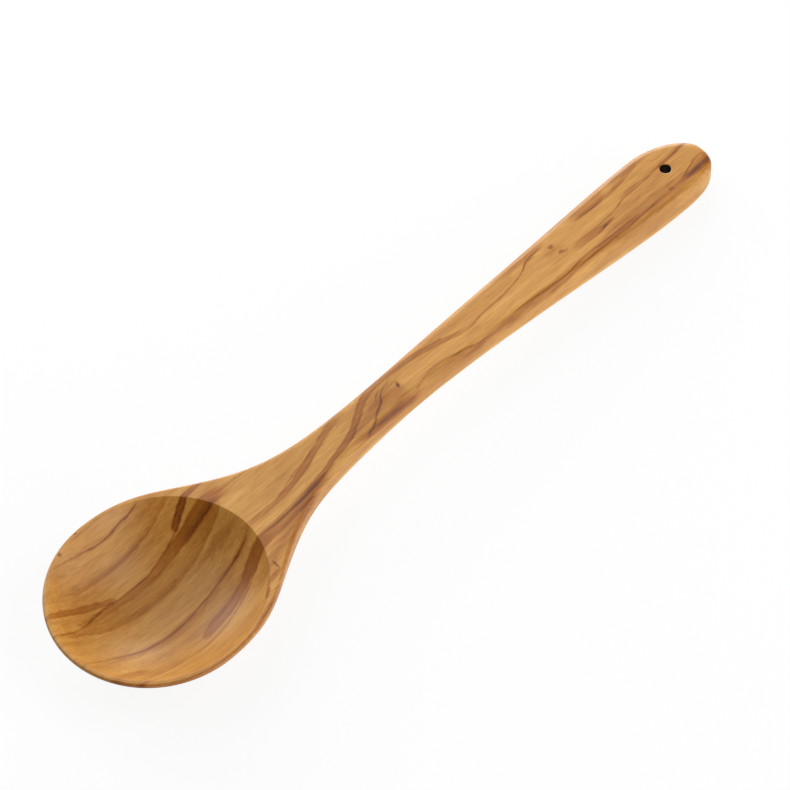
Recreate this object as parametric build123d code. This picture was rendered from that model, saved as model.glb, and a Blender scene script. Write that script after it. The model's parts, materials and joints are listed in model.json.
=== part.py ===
from build123d import *
from math import atan2, cos, degrees, radians, sin, sqrt
import os

from scipy.interpolate import CubicSpline

# A serving spoon carved from one piece of olive wood.
# It is drawn first along X with the bowl's front tip at x = 0 and the flat rim of the bowl
# in the plane z = 0, and is then laid down as it rests on a table. All lengths are millimetres.

# Overall and bowl
overall_length = 300.0
bowl_width = 72.2
bowl_depth = 21.3            # from the rim down to the lowest place of the underside
bowl_reach_share = 1.04      # from the front tip back to the widest place, against half the width
lip_height = 1.3             # upright edge of the bowl under the rim
lip_edge_radius = 0.6        # outer edge of the rim, barely rounded

# Hollow of the bowl
base_wall = 3.5              # wood left under the deepest place
lip_width = 1.45             # rim left between the hollow and the outside, at the front and the sides
hollow_oval_share = 1.092    # length of the hollow against its width
hollow_edge_radius = 0.35
rim_level_share = 1.68       # stretch from the front tip with a level rim, against half the bowl's width

# Neck and handle
neck_width = 14.2
neck_thickness = 11.1
shoulder_share = 2.96        # from the bowl's widest place to the neck, against half the bowl's width
grip_thickness = 11.3        # halfway along the handle
handle_width = 24.6          # widest place of the handle, near its end
handle_thickness = 12.1
end_thickness = 10.5
end_cap_length = 22.0        # rounded end, from the widest place of the handle to the tip
handle_arch = 5.0            # how far the top of the handle rises over the rim plane
top_edge_radius = 2.5
bottom_edge_height = 3.0     # how far the rounding of the lower edges climbs up the sides
end_bottom_round = 3.6       # how far the rounding under the end reaches in along the handle

# Hanging hole
hole_diameter = 4.0
hole_from_end = 17.0
hole_offset = 0.5             # to the left of the middle, as drilled by hand
hole_edge_break = 0.5

# Roundness of the outlines: 2 is an ellipse, more is squarer
left_end_squareness = 1.75    # the end's left corner falls away and its right corner is full
right_end_squareness = 2.95
dish_fullness_share = 0.86

# Widths between the bowl and the neck, as shares of the way and of the narrowing
shoulder_place_shares = (0.18, 0.36, 0.55, 0.75)
shoulder_width_shares = (0.884, 0.523, 0.184, 0.038)

# Widths between the neck and the widest place of the handle, as shares of the way and of the widening
grip_place_shares = (0.226, 0.490, 0.755)
grip_width_shares = (0.137, 0.421, 0.771)

# Top face: places as shares of the way from the level rim to the end, heights as shares of the arch
arch_place_shares = (0.104, 0.208, 0.333, 0.500, 0.667, 0.833, 1.0)
arch_height_shares = (0.0, 0.356, 0.830, 0.989, 0.734, 0.426, 0.045)

# Underside: places as shares of the way from the bowl's widest place to the neck,
# depths under the rim as shares of the drop from the neck's underside to the bowl's
keel_place_shares = (0.18, 0.36, 0.55, 0.75)
keel_depth_shares = (0.968, 0.757, 0.399, 0.216)

# Bezier handles of a section's lower quarter, as shares of its height and half width
dish_side_share = 0.12
dish_base_share = 0.55
grip_side_share = 0.60
grip_base_share = 0.79

# Construction of the skin
circle_handle_share = 0.5523  # Bezier handle that draws a quarter ellipse
tip_angle = 2.0               # degrees of outline left between the first and last sections and the tips
bowl_sections = 24
neck_sections = 22
end_sections = 20
narrowest_flat = 0.15         # half of the flat left on top of the smallest sections
overrun = 5.0                 # how far a cutter goes past what it cuts

# Sizes worked out from those above
bowl_half = bowl_width / 2
neck_half = neck_width / 2
handle_half = handle_width / 2
bowl_tip_reach = bowl_half * bowl_reach_share
shoulder_length = bowl_half * shoulder_share
neck_place = bowl_tip_reach + shoulder_length
cap_start = overall_length - end_cap_length
grip_length = cap_start - neck_place
rim_level_length = bowl_half * rim_level_share
arch_length = overall_length - rim_level_length
hollow_depth = bowl_depth - base_wall
hollow_half_width = bowl_half - lip_width
hollow_half_length = hollow_half_width * hollow_oval_share
hollow_place = lip_width + hollow_half_length
hole_place = overall_length - hole_from_end


def places(start, length, shares):
    """Places along X, as shares of a stretch."""
    return [start + length * share for share in shares]


def values(base, change, shares):
    """Sizes that differ from a base by shares of a change."""
    return [base + change * share for share in shares]


# Half width of the plan from the bowl's widest place to the handle's
side_line = CubicSpline(
    [bowl_tip_reach]
    + places(bowl_tip_reach, shoulder_length, shoulder_place_shares)
    + [neck_place]
    + places(neck_place, grip_length, grip_place_shares)
    + [cap_start],
    [bowl_half]
    + values(neck_half, bowl_half - neck_half, shoulder_width_shares)
    + [neck_half]
    + values(neck_half, handle_half - neck_half, grip_width_shares)
    + [handle_half],
    bc_type="clamped",
)

# Height of the top face over the rim plane
top_line = CubicSpline(
    [0, rim_level_length / 2, rim_level_length]
    + places(rim_level_length, arch_length, arch_place_shares),
    [0, 0, 0] + values(0, handle_arch, arch_height_shares),
)


def top_height(x):
    return float(top_line(x)) if x > rim_level_length else 0.0


# Height of the underside along the middle, behind the bowl's widest place
neck_underside = top_height(neck_place) - neck_thickness
grip_middle = neck_place + grip_length / 2
keel_line = CubicSpline(
    [bowl_tip_reach]
    + places(bowl_tip_reach, shoulder_length, keel_place_shares)
    + [neck_place, grip_middle, cap_start, overall_length],
    [-bowl_depth]
    + values(neck_underside, -bowl_depth - neck_underside, keel_depth_shares)
    + [
        neck_underside,
        top_height(grip_middle) - grip_thickness,
        top_height(cap_start) - handle_thickness,
        top_height(overall_length) - end_thickness,
    ],
    bc_type=("clamped", "not-a-knot"),
)


def rounding(gap, reach):
    """Share of its full height that a rounded edge has at a gap from its end."""
    left = 1 - min(gap / reach, 1)
    return sqrt(1 - left**2)


def neck_share(x):
    """Goes smoothly from 0 in the bowl to 1 at the neck."""
    way = min(max((x - bowl_tip_reach) / shoulder_length, 0), 1)
    return way**2 * (3 - 2 * way)


def mix(x, bowl_value, handle_value):
    return bowl_value + (handle_value - bowl_value) * neck_share(x)


def keel_height(x):
    """Underside along the middle, with the dish rising to the front tip and the end rounded."""
    if x < bowl_tip_reach:
        way = 1 - x / bowl_tip_reach
        return -lip_height - (bowl_depth - lip_height) * (1 - way**2) ** dish_fullness_share
    return float(keel_line(x))


def section(x, left_half, right_half):
    """Outline of the spoon cut across at x: flat top, rounded edges, upright sides, curved base."""
    plan_gap = min(x, overall_length - x)
    edge_radius = mix(x, lip_edge_radius, top_edge_radius)
    edge_bottom = top_height(x) - edge_radius
    top = edge_bottom + edge_radius * rounding(plan_gap, edge_radius)
    full_depth = top_height(x) - keel_height(x)
    side_bottom = top_height(x) - mix(x, lip_height, full_depth - bottom_edge_height)
    base = keel_height(x)
    if x > cap_start:
        base = side_bottom - (side_bottom - base) * rounding(plan_gap, end_bottom_round)
    side_handle = (side_bottom - base) * mix(x, dish_side_share, grip_side_share)
    base_handle_share = mix(x, dish_base_share, grip_base_share)
    down = (top - edge_bottom) * circle_handle_share

    def edge_reach(half_width):
        return min(edge_radius, half_width - narrowest_flat)

    def corner(side, half_width):
        flat_half = half_width - edge_reach(half_width)
        across = edge_reach(half_width) * circle_handle_share
        return Bezier(
            (x, side * flat_half, top),
            (x, side * (flat_half + across), top),
            (x, side * half_width, edge_bottom + down),
            (x, side * half_width, edge_bottom),
        )

    def upright(side, half_width):
        return Line((x, side * half_width, edge_bottom), (x, side * half_width, side_bottom))

    def lower_quarter(side, half_width):
        return Bezier(
            (x, side * half_width, side_bottom),
            (x, side * half_width, side_bottom - side_handle),
            (x, side * half_width * base_handle_share, base),
            (x, 0, base),
        )

    left, right = 1, -1
    flat_left = left_half - edge_reach(left_half)
    flat_right = right_half - edge_reach(right_half)
    return Wire(
        [
            Line((x, right * flat_right, top), (x, left * flat_left, top)),
            corner(left, left_half),
            upright(left, left_half),
            lower_quarter(left, left_half),
            lower_quarter(right, right_half),
            upright(right, right_half),
            corner(right, right_half),
        ]
    )


def end_half_width(x, squareness):
    """Half width in the handle's rounded end, on the side with this squareness."""
    way = (x - cap_start) / end_cap_length
    return handle_half * (1 - way**squareness) ** (1 / squareness)


def stations():
    """Places of the sections with their half widths, close together where the ends close."""
    found = []
    for i in range(bowl_sections):
        turn = radians(tip_angle + (90 - tip_angle) * i / bowl_sections)
        half_width = bowl_half * sin(turn)
        found.append((bowl_tip_reach * (1 - cos(turn)), half_width, half_width))
    for i in range(neck_sections):
        x = bowl_tip_reach + (cap_start - bowl_tip_reach) * i / neck_sections
        half_width = float(side_line(x))
        found.append((x, half_width, half_width))
    for i in range(end_sections + 1):
        turn = radians((90 - tip_angle) * i / end_sections)
        x = cap_start + end_cap_length * sin(turn)
        left_half = end_half_width(x, left_end_squareness)
        right_half = end_half_width(x, right_end_squareness)
        found.append((x, left_half, right_half))
    return found


def hollow():
    """Dished cutter: a ball cap, stretched along the spoon, with its rim in the rim plane."""
    ball = (hollow_half_width**2 + hollow_depth**2) / (2 * hollow_depth)
    rise = ball - hollow_depth
    cap = Pos(0, 0, rise) * Sphere(ball)
    cap = scale(cap, by=(hollow_half_length / hollow_half_width, 1, 1))
    return Pos(hollow_place, 0, 0) * cap


def hanging_hole():
    height = 2 * (end_thickness + overrun)
    drill = Cylinder(hole_diameter / 2, height)
    return Pos(hole_place, hole_offset, top_height(hole_place)) * drill


def rest_tilt():
    """Angle that lets the bowl's underside and the heel of the handle touch one flat surface."""
    heel = overall_length - end_bottom_round
    return max(
        atan2(keel_height(heel) - keel_height(x), heel - x)
        for x, left_half, right_half in stations()
        if x < neck_place
    )


def rim_edge(spoon):
    """The hollow's edge, the only closed edge before the hole is drilled."""
    return max((e for e in spoon.edges() if e.is_closed), key=lambda e: e.length)


def hole_edges(spoon):
    """The two mouths of the hanging hole."""
    closed = [e for e in spoon.edges() if e.is_closed]
    return [e for e in closed if abs(e.center().X - hole_place) < hole_diameter]


def carve_spoon():
    """The whole spoon, as drawn along X from its front tip with its rim level."""
    skin = Solid.make_loft([section(*station) for station in stations()])
    spoon = skin - hollow()
    spoon = fillet(rim_edge(spoon), hollow_edge_radius)
    spoon = spoon - hanging_hole()
    return fillet(hole_edges(spoon), hole_edge_break)


def lay_down(spoon):
    """Tips the spoon to its rest and puts the middle of its footprint at the origin."""
    spoon = Rot(0, degrees(rest_tilt()), 0) * spoon
    box = spoon.bounding_box()
    return Pos(-box.center().X, -box.center().Y, -box.min.Z) * spoon


os.makedirs("parts", exist_ok=True)
export_step(lay_down(carve_spoon()), "parts/spoon.step")
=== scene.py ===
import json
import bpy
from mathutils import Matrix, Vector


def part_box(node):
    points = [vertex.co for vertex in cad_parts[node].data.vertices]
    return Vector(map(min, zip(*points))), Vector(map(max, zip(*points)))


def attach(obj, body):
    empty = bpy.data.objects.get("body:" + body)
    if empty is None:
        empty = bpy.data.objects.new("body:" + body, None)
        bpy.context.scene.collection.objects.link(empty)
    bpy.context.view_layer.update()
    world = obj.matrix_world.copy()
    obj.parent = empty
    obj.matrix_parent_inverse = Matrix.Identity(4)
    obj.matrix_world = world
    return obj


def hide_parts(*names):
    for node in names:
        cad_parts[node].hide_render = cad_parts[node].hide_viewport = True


bl_info = {
    "name": "Olive-wood serving spoon",
    "version": (1, 0, 0),
    "blender": (4, 5, 0),
    "location": "3D View > Sidebar > Spoon",
    "description": "Carves the spoon, oils its wood and sets a small studio around it",
    "category": "Add Mesh",
}

from math import atan2, pi, radians

import bpy
import numpy as np
from bpy.props import FloatProperty, FloatVectorProperty, IntProperty, PointerProperty
from mathutils import Matrix, Vector

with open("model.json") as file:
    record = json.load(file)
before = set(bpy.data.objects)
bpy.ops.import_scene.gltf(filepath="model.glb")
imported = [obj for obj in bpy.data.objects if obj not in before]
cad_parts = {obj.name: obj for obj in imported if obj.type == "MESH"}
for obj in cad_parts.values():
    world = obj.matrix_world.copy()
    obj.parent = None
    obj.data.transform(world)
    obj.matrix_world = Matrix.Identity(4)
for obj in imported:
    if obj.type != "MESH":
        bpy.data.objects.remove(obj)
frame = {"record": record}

MM = 0.001
NODE = "spoon"
BODY = "root"

# Outline of the spoon, as shares of the stretches and widths that the sizes below give
SHOULDER_PLACES = (0.18, 0.36, 0.55, 0.75)
SHOULDER_WIDTHS = (0.884, 0.523, 0.184, 0.038)
GRIP_PLACES = (0.226, 0.490, 0.755)
GRIP_WIDTHS = (0.137, 0.421, 0.771)
ARCH_PLACES = (0.104, 0.208, 0.333, 0.500, 0.667, 0.833, 1.0)
ARCH_HEIGHTS = (0.0, 0.356, 0.830, 0.989, 0.734, 0.426, 0.045)
KEEL_PLACES = (0.18, 0.36, 0.55, 0.75)
KEEL_DEPTHS = (0.968, 0.757, 0.399, 0.216)

# How full the underside is across: the powers in (1 - (share of half width) ** across) ** up
DISH_ACROSS, DISH_UP = 1.85, 0.81
GRIP_ACROSS, GRIP_UP = 2.72, 0.42
# How full the bowl's underside is along the spoon, towards its front tip
DISH_ALONG = 0.86

# Layout of the mesh: where its three stretches meet, and rows that close in on edges
HOLLOW_TO_CUT = 1.9 * MM       # from the hollow's rear edge back to the first row of the handle
CUT_TO_CAP = 3.5 * MM          # from the handle's last row to its rounded end
CUT_BLEND, END_CUT_BLEND = 22 * MM, 5 * MM   # stretch in which edge rows turn square to a cut
RIM_GAPS = np.array([0.06, 0.12, 0.19]) * MM   # rings beside the hollow's rim, both sides of it
# Rings as shares of the way from the hollow's rim, or from the hole, out to the edge rows
LIP_RINGS = (0.22, 0.42, 0.6, 0.74, 0.86, 0.94)
HOLE_RINGS = (0.05, 0.12, 0.2, 0.3, 0.4, 0.5, 0.6, 0.7, 0.8, 0.9)
HOLE_EDGE_RINGS = 5            # rings that round the hole's mouth
WALL_ROWS = (0.93, 0.78, 0.5, 0.22, 0.07)   # heights on the walls, from the top (1) down to 0
# Points of the fine outlines that are then divided evenly: each side and the front of the bowl,
# each side before the rounded end and each half of the end
SIDE_POINTS, FRONT_POINTS, CAP_SIDE_POINTS, END_POINTS = 400, 1200, 200, 3000
NORMAL_REACH = 4               # points of a fine outline, each way, that a normal is read over
SLOPE_STEP = 0.1 * MM          # along x, each way, for the slope of the plan
NARROWEST = 1e-6               # half width that keeps a share across in range at the tips


def linear(code):
    """Linear colour of an sRGB hex code."""
    parts = [int(code[i : i + 2], 16) / 255 for i in (0, 2, 4)]
    return [c / 12.92 if c <= 0.04045 else ((c + 0.055) / 1.055) ** 2.4 for c in parts]


def length(name, description, millimetres):
    """A size property shown in the scene's length unit."""
    return FloatProperty(
        name=name, description=description, default=millimetres * MM, precision=5, unit="LENGTH"
    )


def colour(name, description, code):
    """A colour property with an sRGB hex code as its default."""
    return FloatVectorProperty(
        name=name, description=description, default=linear(code), min=0, max=1, subtype="COLOR"
    )


def share(name, description, value):
    """A property that is a plain number, such as a share of another size."""
    return FloatProperty(name=name, description=description, default=value, min=0.0, precision=3)


# Figure of the wood, and one band of painted shade, drawn in millimetres: x along the spoon from
# its front tip, y to its left. A streak is its kind and a row of (x, y, half width, darkness).
STREAKS = (
    # Hollow and bowl, from the left edge to the right one
    ("line", (17, 29.5, 0.5, 0), (24, 30.3, 0.6, 0.4), (31, 30.5, 0.7, 0.45), (37, 30.0, 0.8, 0.7),
     (44, 29.8, 0.9, 0.85), (50.5, 30.0, 0.9, 0.9), (56, 30.0, 0.8, 0.7), (61, 30.4, 0.8, 0)),
    ("soft", (40, 27.0, 1.5, 0), (51, 27.6, 2.2, 0.25), (60, 27.0, 2.5, 0.3), (68, 26, 1.5, 0)),
    ("low", (18, 22.4, 1.2, 0), (27, 22.6, 1.4, 0.3), (37, 22.7, 1.4, 0.4), (46, 23.0, 1.4, 0.42),
     (54, 23.6, 1.4, 0.38), (62, 24.6, 1.4, 0.3), (71, 25, 1.4, 0)),
    ("flat", (0, 16.4, 0.9, 0.25), (5, 17.2, 1.1, 0.35), (10.5, 17.4, 1.3, 0.4), (19, 16.8, 1.4, 0.4),
     (26, 15.8, 1.3, 0.42), (31, 14.9, 1.0, 0.4), (33.5, 14.5, 0.8, 0)),
    ("line", (28, 14.4, 0.6, 0), (33, 14.0, 0.7, 0.45), (39, 14.0, 0.7, 0.45), (46, 14.2, 0.7, 0.5),
     (52.5, 14.9, 0.8, 0.55), (59, 15.8, 0.9, 0.6), (64, 16.6, 0.9, 0)),
    ("flat", (13, 11.9, 1.0, 0), (21, 12.6, 1.6, 0.3), (31, 12.8, 1.7, 0.34), (41, 12.6, 1.8, 0.36),
     (51, 12.9, 2.0, 0.42), (59, 13.6, 2.3, 0.5), (66, 14.0, 2.7, 0.6), (75, 13.8, 3.0, 0.55),
     (82.5, 13.2, 2.2, 0.2), (92, 12.6, 1.4, 0)),
    ("line", (1, 10.1, 0.6, 0.45), (7, 10.4, 0.6, 0.5), (12, 10.8, 0.6, 0.55), (17, 12.0, 0.6, 0.5),
     (22, 13.1, 0.6, 0.45), (27, 13.9, 0.6, 0.35), (32, 14.2, 0.6, 0)),
    ("low", (3, 9.8, 1.2, 0), (12, 10.0, 1.5, 0.3), (21, 8.5, 2.2, 0.34), (31, 7.6, 2.6, 0.36),
     (42, 7.1, 2.7, 0.36), (52.5, 7.1, 2.7, 0.36), (63, 8.0, 2.5, 0.4), (72, 9.6, 2.0, 0.4),
     (80, 10.4, 1.4, 0)),
    ("soft", (0, 6.0, 1.2, 0.1), (10, 6.2, 1.6, 0.2), (22, 5.2, 1.4, 0)),
    ("soft", (50, 3.2, 1.5, 0), (60, 3.4, 2.0, 0.18), (70, 3.4, 2.4, 0.3), (77, 3.2, 1.8, 0)),
    ("line", (0, -4.8, 0.9, 0.3), (6, -3.7, 0.9, 0.45), (12.5, -3.8, 1.0, 0.5), (19, -4.9, 1.1, 0.55),
     (25, -6.4, 1.2, 0.6), (31.5, -7.2, 1.2, 0.6), (38, -7.4, 1.2, 0.6), (44, -7.2, 1.2, 0.6),
     (50.5, -6.7, 1.1, 0.55), (59, -5.9, 1.1, 0.55), (67, -5.6, 1.2, 0.55), (73.5, -4.3, 1.2, 0.45),
     (78, -2.6, 1.0, 0)),
    ("soft", (11, -5.2, 1.5, 0), (22, -6.6, 2.0, 0.3), (34, -8.2, 2.2, 0.35), (48, -8.0, 2.2, 0.3),
     (62, -6.4, 2.0, 0.25), (70, -5.4, 2.0, 0.35), (78, -3.8, 1.6, 0)),
    ("flat", (3, -16.4, 1.6, 0.15), (8, -15.4, 2.4, 0.25), (13, -15.2, 2.4, 0.28),
     (17.5, -16.4, 2.0, 0.25), (21, -17.6, 1.4, 0)),
    ("low", (7, -22.5, 1.2, 0), (16, -19.9, 1.4, 0.3), (24, -19.9, 1.5, 0.35), (32, -20.3, 1.5, 0.35),
     (40, -20.9, 1.3, 0.35), (47, -20.4, 0.9, 0.3), (52, -19.8, 0.8, 0)),
    ("soft", (7, -23.2, 1.2, 0), (11.5, -23.6, 1.8, 0.4), (17, -24.6, 1.4, 0)),
    # Painted shade: a dark band that follows the bowl's near rim round from the front tip and on along
    # the neck's near edge, where the rounded lip turns away from the lamps
    ("soft", (0.5, -7, 1.6, 0), (2, -13, 2.4, 0.45), (5, -18.6, 2.2, 0.55), (9, -23.8, 1.8, 0.5),
     (14, -28.4, 1.5, 0.4), (20, -31.8, 1.3, 0.38), (28, -34.4, 1.2, 0.4), (37.5, -35.5, 1.2, 0.45),
     (46, -34.8, 1.2, 0.45), (56.5, -32.2, 1.3, 0.5), (66, -28.4, 1.4, 0.45), (76, -21.8, 1.4, 0.4),
     (86, -16.2, 1.4, 0.35), (97, -12.2, 1.2, 0.3), (108, -9.2, 1.0, 0)),
    ("line", (40, -20.8, 0.7, 0), (46, -20.9, 0.8, 0.35), (52, -20.0, 0.8, 0.6), (57, -18.9, 0.8, 0.6),
     (63, -17.0, 0.8, 0.5), (69, -14.8, 0.8, 0.45), (75, -12.6, 0.8, 0)),
    ("flat", (40.5, -17.8, 1.0, 0), (42, -17.7, 1.6, 0.35), (45, -17.1, 2.5, 0.45),
     (50, -16.4, 3.1, 0.48), (56, -15.8, 2.8, 0.48), (62, -14.8, 2.5, 0.5), (67, -12.9, 2.9, 0.58),
     (73, -11.2, 3.3, 0.6), (79, -10.6, 2.8, 0.5), (87, -10.4, 2.4, 0.4), (97, -9.6, 2.0, 0.45),
     (107, -8.1, 1.5, 0.35), (115, -7.6, 1.0, 0)),
    ("soft", (61, -20.5, 2.0, 0), (69, -20.4, 3.2, 0.3), (78, -16.5, 3.5, 0.35), (90, -12.8, 2.8, 0.35),
     (101, -10.4, 1.6, 0)),
    ("flat", (60, 17.1, 0.8, 0), (62, 17.5, 1.4, 0.7), (66.5, 19.2, 1.7, 0.8), (71, 20.4, 1.4, 0.6),
     (77, 20.8, 1.0, 0.35), (86, 20.0, 0.9, 0)),
    ("soft", (60, 11.0, 2, 0), (68, 11.8, 3.5, 0.3), (75, 11.8, 3.0, 0.3), (79, 11.8, 2.0, 0)),

    # Neck
    ("line", (73, 14.8, 1.0, 0), (80, 13.8, 1.2, 0.28), (88, 13.4, 1.2, 0.28), (96, 12.2, 1.2, 0.28),
     (102, 10.9, 1.1, 0.22), (109, 9.4, 1.0, 0)),
    ("flat", (75, -2.6, 1.0, 0), (80, -2.8, 1.1, 0.35), (85, -2.8, 1.1, 0.38), (91, -2.8, 1.2, 0.42),
     (96, -2.4, 1.3, 0.48), (101, -1.3, 1.5, 0.5), (106, -0.2, 1.6, 0.5), (111, 1.4, 1.6, 0.48),
     (116, 2.9, 1.7, 0.45), (121, 4.4, 1.8, 0.4), (126, 5.6, 1.8, 0.3), (132, 6.6, 1.5, 0)),
    ("line", (88, -2.2, 0.6, 0), (93, -1.6, 0.7, 0.45), (97, -0.6, 0.7, 0.5), (101, 0.4, 0.7, 0.5),
     (106, 1.3, 0.7, 0.45), (110, 2.2, 0.7, 0.45), (114, 3.6, 0.6, 0)),
    ("flat", (76, -8.2, 1.0, 0), (84, -8.6, 1.3, 0.35), (92, -8.4, 1.3, 0.4), (101, -7.8, 1.4, 0.5),
     (108, -6.7, 1.3, 0.52), (116, -5.0, 1.4, 0.55), (122.5, -3.7, 1.6, 0.55), (127.5, -1.5, 1.8, 0.52),
     (132.5, 1.4, 2.0, 0.5), (136.5, 3.7, 1.9, 0.48), (139.5, 4.8, 1.8, 0.45), (146, 5.3, 1.5, 0.42),
     (153, 4.9, 1.3, 0.4), (159.5, 4.4, 1.3, 0.4), (166, 3.3, 1.4, 0.4), (171.5, 2.2, 1.4, 0.4),
     (176.5, 0.8, 1.3, 0.38), (180, -0.2, 1.1, 0.35), (184, -0.6, 0.9, 0.25), (190, -0.4, 0.6, 0)),
    ("soft", (118, -5.0, 2.0, 0), (127, -3.6, 2.6, 0.3), (134, -1.4, 3.5, 0.4), (140, -0.6, 4.8, 0.48),
     (146, -1.2, 5.0, 0.46), (150, -1.6, 4.5, 0.25), (154, -1.4, 3.0, 0)),
    ("line", (126, -7.6, 0.9, 0), (130, -6.7, 1.0, 0.5), (134, -5.2, 1.1, 0.65), (137, -3.2, 1.3, 0.65),
     (139.5, -2.0, 1.2, 0.65), (142, 0.1, 1.0, 0.6), (143, 1.3, 0.8, 0.55), (145, 2.2, 0.7, 0.5),
     (148, 3.0, 0.6, 0.35), (152, 4.0, 0.6, 0)),
    ("line", (139, -0.6, 0.7, 0), (140, 0.6, 0.8, 0.4), (141, 1.6, 0.8, 0.5), (143, 2.6, 0.7, 0.4),
     (146, 3.4, 0.6, 0)),
    ("soft", (116, -7.4, 0.8, 0), (124, -6.6, 1.1, 0.35), (132, -6.6, 1.4, 0.7), (140, -6.6, 1.7, 0.85),
     (147, -6.8, 1.6, 0.75), (154, -7.2, 1.1, 0.3), (162, -7.4, 0.9, 0)),
    ("line", (150, -6.8, 0.8, 0), (153.5, -5.8, 0.9, 0.3), (158, -4.6, 0.9, 0.38), (163, -4.0, 1.0, 0.4),
     (168, -4.5, 1.0, 0.42), (172, -5.3, 1.0, 0.48), (176, -6.0, 1.0, 0.5), (180, -7.0, 1.0, 0.5),
     (186.5, -7.6, 1.0, 0.45), (194, -8.4, 0.9, 0)),
    ("soft", (151, -7.4, 1.2, 0), (161, -6.2, 2.2, 0.3), (171, -6.7, 2.2, 0.35), (181, -8.0, 1.8, 0.3),
     (189, -8.4, 1.2, 0)),
    ("soft", (177, -2.4, 0.8, 0), (184, -2.6, 1.4, 0.25), (190, -2.4, 1.0, 0)),

    # Handle
    ("line", (177, -0.4, 0.4, 0), (184, -0.7, 0.6, 0.4), (190.5, 0.0, 0.6, 0.55), (198.5, 0.5, 0.6, 0.6),
     (204, 0.9, 0.6, 0.6), (208, 1.6, 0.65, 0.65), (212, 2.5, 0.7, 0.6), (215, 3.7, 0.7, 0.6),
     (217.5, 5.3, 0.8, 0.65), (221.5, 5.9, 0.8, 0.55), (225, 6.2, 0.7, 0.3), (229, 6.6, 0.6, 0)),
    ("line", (213, 3.4, 0.6, 0), (216, 4.5, 0.8, 0.4), (220, 5.0, 1.0, 0.4), (224, 4.6, 0.8, 0)),
    ("soft", (198, 6.2, 1.0, 0), (207, 7.0, 1.8, 0.3), (217, 7.0, 2.2, 0.38), (226, 7.4, 2.0, 0.3),
     (233, 8.2, 1.4, 0)),
    ("soft", (221, 1.5, 2.5, 0), (228, 1.8, 4.5, 0.2), (235, 1.2, 3.0, 0)),
    ("flat", (238, 7.4, 1.0, 0), (243, 7.4, 1.8, 0.25), (249, 7.4, 2.2, 0.38), (255, 7.6, 2.0, 0.35),
     (260, 8.4, 1.4, 0)),
    ("soft", (260, 9.6, 1.0, 0), (266, 9.4, 1.6, 0.35), (273, 9.4, 1.5, 0.38), (278, 9.8, 1.0, 0)),
    ("low", (242, 6.6, 1.0, 0), (247, 6.5, 1.1, 0.3), (252, 6.5, 1.2, 0.32), (259, 6.8, 1.2, 0.36),
     (265, 7.2, 1.2, 0.45), (270, 8.0, 1.1, 0.4), (276, 9.0, 1.0, 0.3), (282, 10, 0.9, 0)),
    ("line", (233, 0.2, 0.5, 0), (237, -0.8, 0.6, 0.3), (243, -1.0, 0.6, 0.4), (249, -0.9, 0.7, 0.55),
     (254.5, -0.5, 0.7, 0.58), (259, 0.5, 0.7, 0.58), (262.5, 1.3, 0.8, 0.55), (268, 1.5, 0.8, 0.5),
     (274.5, 1.9, 0.8, 0.45), (281, 2.6, 0.9, 0.4), (286.5, 2.9, 1.1, 0.45), (292, 3.5, 1.2, 0.45),
     (298, 4.2, 1.1, 0.4)),
    ("soft", (259, 2.2, 0.8, 0), (267, 2.8, 1.6, 0.3), (278, 3.2, 1.6, 0.25), (289, 3.6, 1.8, 0.35),
     (299, 4.6, 1.6, 0.3)),
    ("flat", (231.5, -2.0, 1.0, 0), (235, -2.2, 1.6, 0.3), (241, -2.5, 1.8, 0.38), (246, -2.6, 1.6, 0.42),
     (249.5, -2.6, 1.0, 0.45), (254, -2.4, 0.6, 0)),
    ("line", (243, -3.6, 0.5, 0), (247, -3.0, 0.7, 0.3), (250, -2.6, 0.7, 0.3), (254, -2.4, 0.5, 0)),
    ("soft", (184, -7.6, 1.0, 0), (192, -7.8, 1.3, 0.36), (200, -8.2, 1.5, 0.42), (209, -8.0, 1.7, 0.4),
     (219, -8.2, 1.8, 0.38), (231, -8.0, 2.2, 0.38), (243, -8.0, 2.8, 0.42), (255, -8.0, 3.0, 0.42),
     (267, -8.2, 3.0, 0.42), (279, -7.6, 3.2, 0.42), (289, -7.2, 3.6, 0.45), (300, -6.6, 4.0, 0.45)),
    ("line", (195, -7.0, 0.6, 0), (203, -7.2, 0.7, 0.3), (213, -7.8, 0.8, 0.34), (224, -8.2, 0.8, 0.36),
     (231, -7.2, 0.8, 0.5), (238, -7.0, 0.8, 0.5), (247, -7.4, 0.8, 0.45), (256, -7.2, 0.8, 0.4),
     (264, -7.2, 0.7, 0)),
    ("line", (209, -9.0, 0.6, 0), (219, -9.3, 0.7, 0.3), (231, -8.8, 0.7, 0.34), (243, -8.6, 0.7, 0.4),
     (255, -8.8, 0.7, 0.4), (266, -8.2, 0.7, 0.3), (275, -7.6, 0.6, 0)),
    ("soft", (243, -5.0, 0.8, 0), (253, -5.2, 1.3, 0.3), (261, -5.0, 1.4, 0.28), (271, -4.8, 1.2, 0.25),
     (283, -5.0, 1.0, 0)),
    ("line", (277, -7.4, 0.6, 0), (283, -6.8, 0.7, 0.35), (287, -5.8, 0.8, 0.55), (290, -4.6, 0.8, 0.6),
     (293, -3.7, 0.8, 0.6), (296, -3.5, 0.8, 0.55), (300, -4.4, 0.7, 0.35)),
    ("soft", (281, -7.6, 0.8, 0), (286, -7.2, 1.4, 0.35), (290.5, -7.0, 1.8, 0.5), (294, -6.4, 2.2, 0.35),
     (300, -5.8, 2.6, 0.4)),
)
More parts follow.
